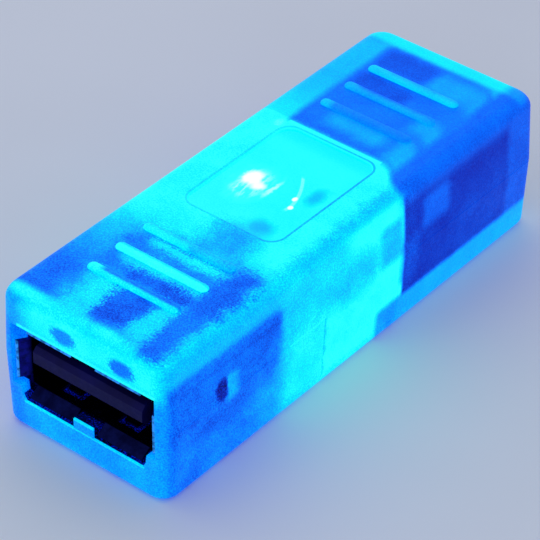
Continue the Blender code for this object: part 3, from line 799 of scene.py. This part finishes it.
def wear_metal(name, colour, rough=0.25):
    """Drawn or cast metal: fine streaks along the part, dull patches and brighter high spots."""
    n = Nodes(name)
    n.position()
    streaks = n.noise(3.0, 2.0, 0.6, n.vector("MULTIPLY", n.place, (6.0, 0.6, 1.2)))
    dull = n.ramp(n.noise(1.2, 4.0), 0.35, 0.7)
    shade = n.times(n.ramp(streaks, 0.3, 0.7, 0.6, 1.0), n.inverse(n.times(dull, 0.35)))
    dark = tuple(c * 0.5 for c in colour)
    uneven_rough = n.ramp(n.noise(3.0, 3.0), 0.3, 0.7, rough - 0.06, rough + 0.06)
    n.bump(n.add(streaks, n.noise(9.0, 2.0)), 0.15, 0.02)
    return n.finish(
        Base_Color=n.blend(shade, (*dark, 1), (*colour, 1)),
        Metallic=1.0,
        Roughness=n.add(uneven_rough, n.times(dull, 0.12)),
    )


def moulded_plastic(name, colour, rough=0.5, gloss=0.5):
    """Moulded plastic: cloudy tone, fine spark-eroded texture and rubbed patches."""
    n = Nodes(name)
    n.position()
    shade = n.ramp(n.noise(0.8, 3.0), 0.3, 0.7)
    rubbed = n.ramp(n.noise(1.6, 5.0, 0.6), 0.55, 0.7)
    dark = tuple(c * 0.75 for c in colour)
    n.bump(n.noise(8.0, 2.0), 0.25, 0.02)
    fine = n.ramp(n.noise(6.0, 2.0), 0.3, 0.7, rough - 0.05, rough + 0.08)
    return n.finish(
        Base_Color=n.blend(shade, (*dark, 1), (*colour, 1)),
        Roughness=n.add(fine, n.times(rubbed, -0.12)),
        Specular_IOR_Level=gloss,
    )


def board_material():
    """Solder mask over copper tracks, with bare pads at the leads and glass fibre at the edges."""
    n = Nodes("board")
    x, y, z = n.position()
    place = n.flat(x, y)
    tracks = 0.0
    for u in (-3.5, -1.0, 1.0, 3.5):
        run = n.box(place, (u - 0.25, u + 0.25), (-9.4, 6.6), 0.1)
        tracks = n.math("MAXIMUM", tracks, run)
    tracks = n.math("MAXIMUM", tracks, n.box(place, (-5.6, -4.4), (-3.0, 6.6), 0.15))
    pads = 0.0
    for u in (-3.5, -1.0, 1.0, 3.5):
        pads = n.math("MAXIMUM", pads, n.spot(place, u, -9.75, 0.85, 0.85, 0.1))
    for v in (-0.37, 2.17):
        pads = n.math("MAXIMUM", pads, n.spot(place, -3.4, v, 0.85, 0.85, 0.1))
    weave = n.noise(4.0, 1.0, 0.5, n.vector("MULTIPLY", n.place, (1.0, 1.0, 6.0)))
    cloudy = n.ramp(n.noise(0.6, 3.0), 0.3, 0.7)
    mask = n.blend(cloudy, (0.008, 0.12, 0.07, 1), (0.014, 0.19, 0.1, 1))
    mask = n.blend(tracks, mask, (0.03, 0.3, 0.14, 1))
    mask = n.blend(pads, mask, (0.7, 0.68, 0.6, 1))
    edge = n.between(z, 2.16, 3.04, 0.02)
    colour = n.blend(edge, mask, (0.45, 0.42, 0.2, 1))
    n.bump(n.add(n.times(tracks, 0.8), n.times(weave, 0.3)), 0.5, 0.04)
    return n.finish(
        Base_Color=colour,
        Roughness=n.add(n.ramp(weave, 0.3, 0.7, 0.32, 0.42), n.times(pads, -0.1)),
        Metallic=n.times(pads, n.inverse(edge)),
    )


def lens_material():
    """Clear epoxy, a little cloudy at the flange, with a painted blue glow from the chip, brighter
    towards the top.
    """
    n = Nodes("clear_epoxy")
    x, y, z = n.position()
    cloud = n.ramp(n.noise(1.5, 3.0), 0.35, 0.75)
    n.bump(n.noise(3.0, 2.0), 0.1, 0.02)
    return n.finish(
        Base_Color=n.blend(cloud, (0.75, 0.95, 1.0, 1), (0.6, 0.9, 1.0, 1)),
        Roughness=n.ramp(n.noise(2.0, 3.0), 0.3, 0.7, 0.04, 0.12),
        Transmission_Weight=n.ramp(cloud, 0.0, 1.0, 0.92, 0.75),
        # Painted glow from the chip, brighter towards the top.
        Emission_Color=n.blend(n.ramp(z, 5.0, 11.5), (0.0, 0.1, 0.5, 1), (0.05, 0.6, 1.0, 1)),
        Emission_Strength=0.6,
    )


def chip_material():
    """The lamp's chip: bright square with darker bond pad."""
    n = Nodes("led_die")
    x, y, z = n.position()
    uneven = n.ramp(n.noise(9.0, 2.0), 0.3, 0.7)
    n.bump(n.noise(20.0, 2.0), 0.1, 0.005)
    return n.finish(
        Base_Color=n.blend(uneven, (0.4, 0.8, 1.0, 1), (0.6, 0.95, 1.0, 1)),
        Roughness=n.ramp(uneven, 0.0, 1.0, 0.2, 0.35),
        Emission_Color=n.blend(uneven, (0.3, 0.8, 1.0, 1), (0.7, 0.97, 1.0, 1)),
        Emission_Strength=20.0,
    )


def paint(obj, material):
    if not obj.material_slots:
        obj.data.materials.append(material)
    for slot in obj.material_slots:
        slot.material = material


# Stage


def make_floor():
    bm = bmesh.new()
    bmesh.ops.create_grid(bm, x_segments=1, y_segments=1, size=600)
    floor = mesh_object("floor", bm)
    n = Nodes("pale_floor")
    n.position()
    shade = n.ramp(n.noise(0.02, 3.0), 0.3, 0.7)
    n.finish(
        Base_Color=n.blend(shade, (0.78, 0.79, 0.82, 1), (0.82, 0.83, 0.86, 1)),
        Roughness=0.6,
    )
    paint(floor, n.material)


def make_lights():
    world = bpy.data.worlds.new("studio")
    bpy.context.scene.world = world
    world.use_nodes = True
    background = world.node_tree.nodes["Background"]
    background.inputs["Color"].default_value = (0.75, 0.82, 1.0, 1)
    background.inputs["Strength"].default_value = 0.62

    data = bpy.data.lights.new("softbox", "AREA")
    data.energy = 0.5
    data.size = 0.5
    data.color = (0.92, 0.95, 1.0)
    box = bpy.data.objects.new("softbox", data)
    box.location = (-0.25, 0.1, 0.5)
    aim = Vector((0, 0, 0)) - box.location
    box.rotation_euler = aim.to_track_quat("-Z", "Y").to_euler()
    bpy.context.scene.collection.objects.link(box)


def make_camera():
    """Long lens from the front right, above, with a slight roll."""
    azimuth = math.radians(38.76)
    elevation = math.radians(37.81)
    roll = math.radians(0.6)
    distance = 225.0
    aim = Vector((3.134, -5.077, 9.107))
    back = Vector(
        (
            math.sin(azimuth) * math.cos(elevation),
            -math.cos(azimuth) * math.cos(elevation),
            math.sin(elevation),
        )
    )
    right = Vector((0, 0, 1)).cross(back).normalized()
    up = back.cross(right)
    turned_right = right * math.cos(roll) + up * math.sin(roll)
    turned_up = up * math.cos(roll) - right * math.sin(roll)
    data = bpy.data.cameras.new("camera")
    data.lens = 189.93
    data.sensor_width = 36.0
    data.clip_start = 0.01
    data.clip_end = 10.0
    camera = bpy.data.objects.new("camera", data)
    turn = Matrix((turned_right, turned_up, back)).transposed()
    camera.matrix_world = Matrix.Translation((aim + back * distance) * MM) @ turn.to_4x4()
    bpy.context.scene.collection.objects.link(camera)
    bpy.context.scene.camera = camera


def main():
    bpy.context.scene.view_settings.view_transform = "Standard"
    make_camera()
    make_lights()
    make_floor()

    frosted = frosted_material()
    shells = {"housing_upper": make_upper_shell(), "housing_lower": make_lower_shell()}
    for node, shell in shells.items():
        clean(shell)
        smooth(shell)
        paint(shell, frosted)
        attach(shell, "root")
        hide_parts(node)

    finishes = {
        "plated_steel": socket_metal(),
        "contact_metal": wear_metal("contact_metal", (0.9, 0.68, 0.32), 0.25),
        "solder": wear_metal("solder", (0.62, 0.63, 0.66), 0.35),
        "lead_metal": wear_metal("lead_metal", (0.75, 0.77, 0.8), 0.28),
        "dark_insulator": moulded_plastic("dark_insulator", (0.008, 0.006, 0.09), 0.5, 0.1),
        "light_insulator": moulded_plastic("light_insulator", (0.3, 0.42, 0.62), 0.45, 0.3),
        "board": board_material(),
        "clear_epoxy": lens_material(),
        "ceramic": moulded_plastic("ceramic", (0.02, 0.02, 0.03), 0.35),
        "led_die": chip_material(),
    }
    slots = {part["node"]: part["material_slot"] for part in frame["record"]["subparts"]}
    for name, node in frame["nodes"].items():
        if slots[name] in finishes:
            paint(node, finishes[slots[name]])


main()
